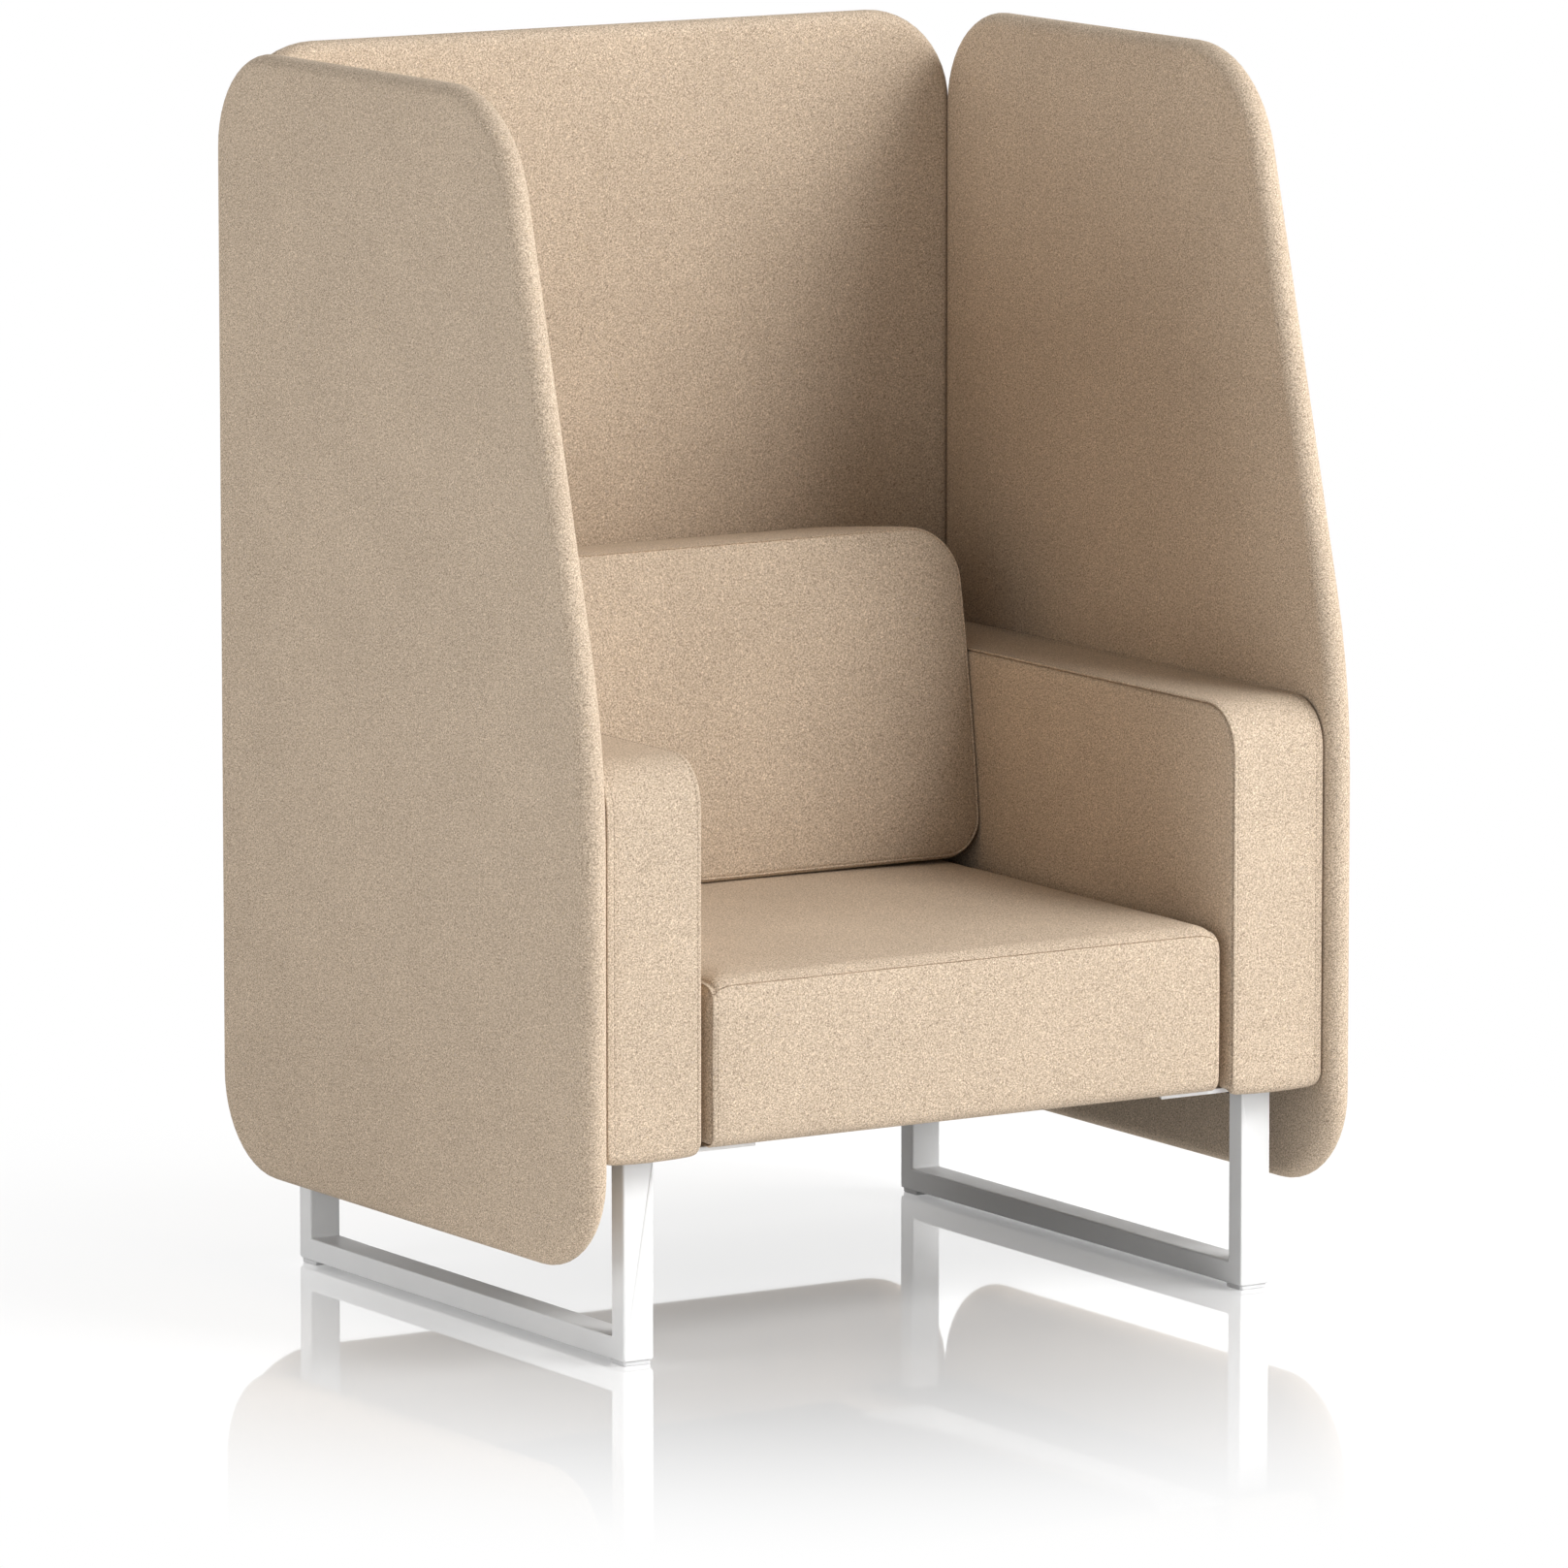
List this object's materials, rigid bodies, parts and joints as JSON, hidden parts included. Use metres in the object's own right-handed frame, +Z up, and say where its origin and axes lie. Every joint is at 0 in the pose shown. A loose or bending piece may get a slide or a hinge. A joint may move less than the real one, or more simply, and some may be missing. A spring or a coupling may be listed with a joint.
{
  "type": "privacy booth seat",
  "caption": "Upholstered lounge armchair inside tall padded side and back screens, with a wedge back cushion, on white sled frames of rectangular tube.",
  "frame": {"origin": "on the floor under the centre of the whole seat's box", "axes": "+Z up, -Y the way the sitter faces, +X to the right as seen from the front"},
  "size_m": [0.989, 0.8196, 1.364],
  "materials": {
    "felt": "matte",
    "foam": "matte",
    "base_cloth": "matte",
    "timber": "matte",
    "white_coat": "satin",
    "zinc_steel": "satin",
    "glide": "satin"
  },
  "bodies": {
    "root": {"left_screen_board": "timber", "left_screen_foam": "foam", "left_screen_cover": "felt", "right_screen_board": "timber", "right_screen_foam": "foam", "right_screen_cover": "felt", "back_screen_board": "timber", "back_screen_foam": "foam", "back_screen_cover": "felt", "left_arm_frame": "timber", "left_arm_foam": "foam", "left_arm_cover": "felt", "left_arm_base_cloth": "base_cloth", "right_arm_frame": "timber", "right_arm_foam": "foam", "right_arm_cover": "felt", "right_arm_base_cloth": "base_cloth", "seat_front_rail": "timber", "seat_rear_rail": "timber", "seat_left_rail": "timber", "seat_right_rail": "timber", "seat_suspension_web": "base_cloth", "seat_foam": "foam", "seat_cover": "felt", "seat_dust_cover": "base_cloth", "cushion_board": "timber", "cushion_foam": "foam", "cushion_cover": "felt", "screen_hanger_rail": "zinc_steel", "screen_hanger_left_screw": "zinc_steel", "screen_hanger_right_screw": "zinc_steel", "cushion_hanger_rail": "zinc_steel", "cushion_hanger_left_screw": "zinc_steel", "cushion_hanger_right_screw": "zinc_steel", "left_sled_frame": "white_coat", "right_sled_frame": "white_coat", "left_link_plate": "white_coat", "right_link_plate": "white_coat", "left_front_glide": "glide", "left_rear_glide": "glide", "right_front_glide": "glide", "right_rear_glide": "glide", "left_arm_front_screw": "zinc_steel", "left_arm_rear_screw": "zinc_steel", "left_seat_front_screw": "zinc_steel", "left_seat_rear_screw": "zinc_steel", "right_arm_front_screw": "zinc_steel", "right_arm_rear_screw": "zinc_steel", "right_seat_front_screw": "zinc_steel", "right_seat_rear_screw": "zinc_steel", "left_front_screen_screw": "zinc_steel", "left_rear_screen_screw": "zinc_steel", "left_back_screen_screw": "zinc_steel", "right_front_screen_screw": "zinc_steel", "right_rear_screen_screw": "zinc_steel", "right_back_screen_screw": "zinc_steel"}
  },
  "joints": []
}
